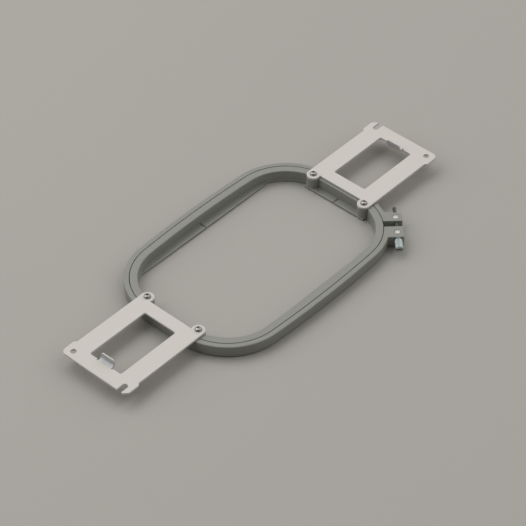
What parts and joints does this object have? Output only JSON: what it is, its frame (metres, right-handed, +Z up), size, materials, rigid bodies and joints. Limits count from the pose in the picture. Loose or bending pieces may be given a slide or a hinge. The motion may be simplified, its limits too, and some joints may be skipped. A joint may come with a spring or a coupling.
{
  "type": "machine embroidery hoop",
  "caption": "Rounded rectangular embroidery hoop: split outer ring with corner thumb-screw clamp, flanged inner ring and flat machine brackets with window, hole and slot on both ends.",
  "frame": {"origin": "centre of the sewing field, on the plane that the inner ring lies on, midway between the two machine arms", "axes": "+X along the hoop's length to the right bracket, +Y to the back, away from the clamp's corner, +Z up from the plane that the inner ring lies on"},
  "size_m": [0.3764, 0.1596, 0.0188],
  "materials": {
    "ring_plastic": "moulded grey plastic, fine satin grain",
    "bracket_paint": "warm white satin paint",
    "zinc_hardware": "bright zinc plate"
  },
  "bodies": {
    "outer_ring": {"outer_ring": "ring_plastic", "barrel_nut": "zinc_hardware", "barrel_bush": "zinc_hardware"},
    "inner_frame": {"inner_ring": "ring_plastic", "bracket_right": "bracket_paint", "bracket_left": "bracket_paint", "screw_right_front": "zinc_hardware", "screw_right_rear": "zinc_hardware", "screw_left_front": "zinc_hardware", "screw_left_rear": "zinc_hardware"},
    "clamp_advance": {"clamp_washer": "zinc_hardware"},
    "clamp_screw": {"clamp_screw": "zinc_hardware"}
  },
  "joints": [
    {"name": "inner_frame_lift", "type": "slide", "parent": "outer_ring", "child": "inner_frame", "axis": [0, 0, 1], "range_m": [0, 0.03]},
    {"name": "clamp_screw_advance", "type": "slide", "parent": "outer_ring", "child": "clamp_advance", "axis": [-0.7133, -0.7009, 0], "range_m": [0, 0.004]},
    {"name": "clamp_screw_turn", "type": "hinge", "parent": "clamp_advance", "child": "clamp_screw", "pos_m": [0.10024, -0.06289, 0.0078], "axis": [-0.7133, -0.7009, 0], "range_deg": [0, 2886]}
  ],
  "couplings": [
    {"joint": "clamp_screw_turn", "follows": "clamp_screw_advance", "rad_per_m": 12566}
  ]
}
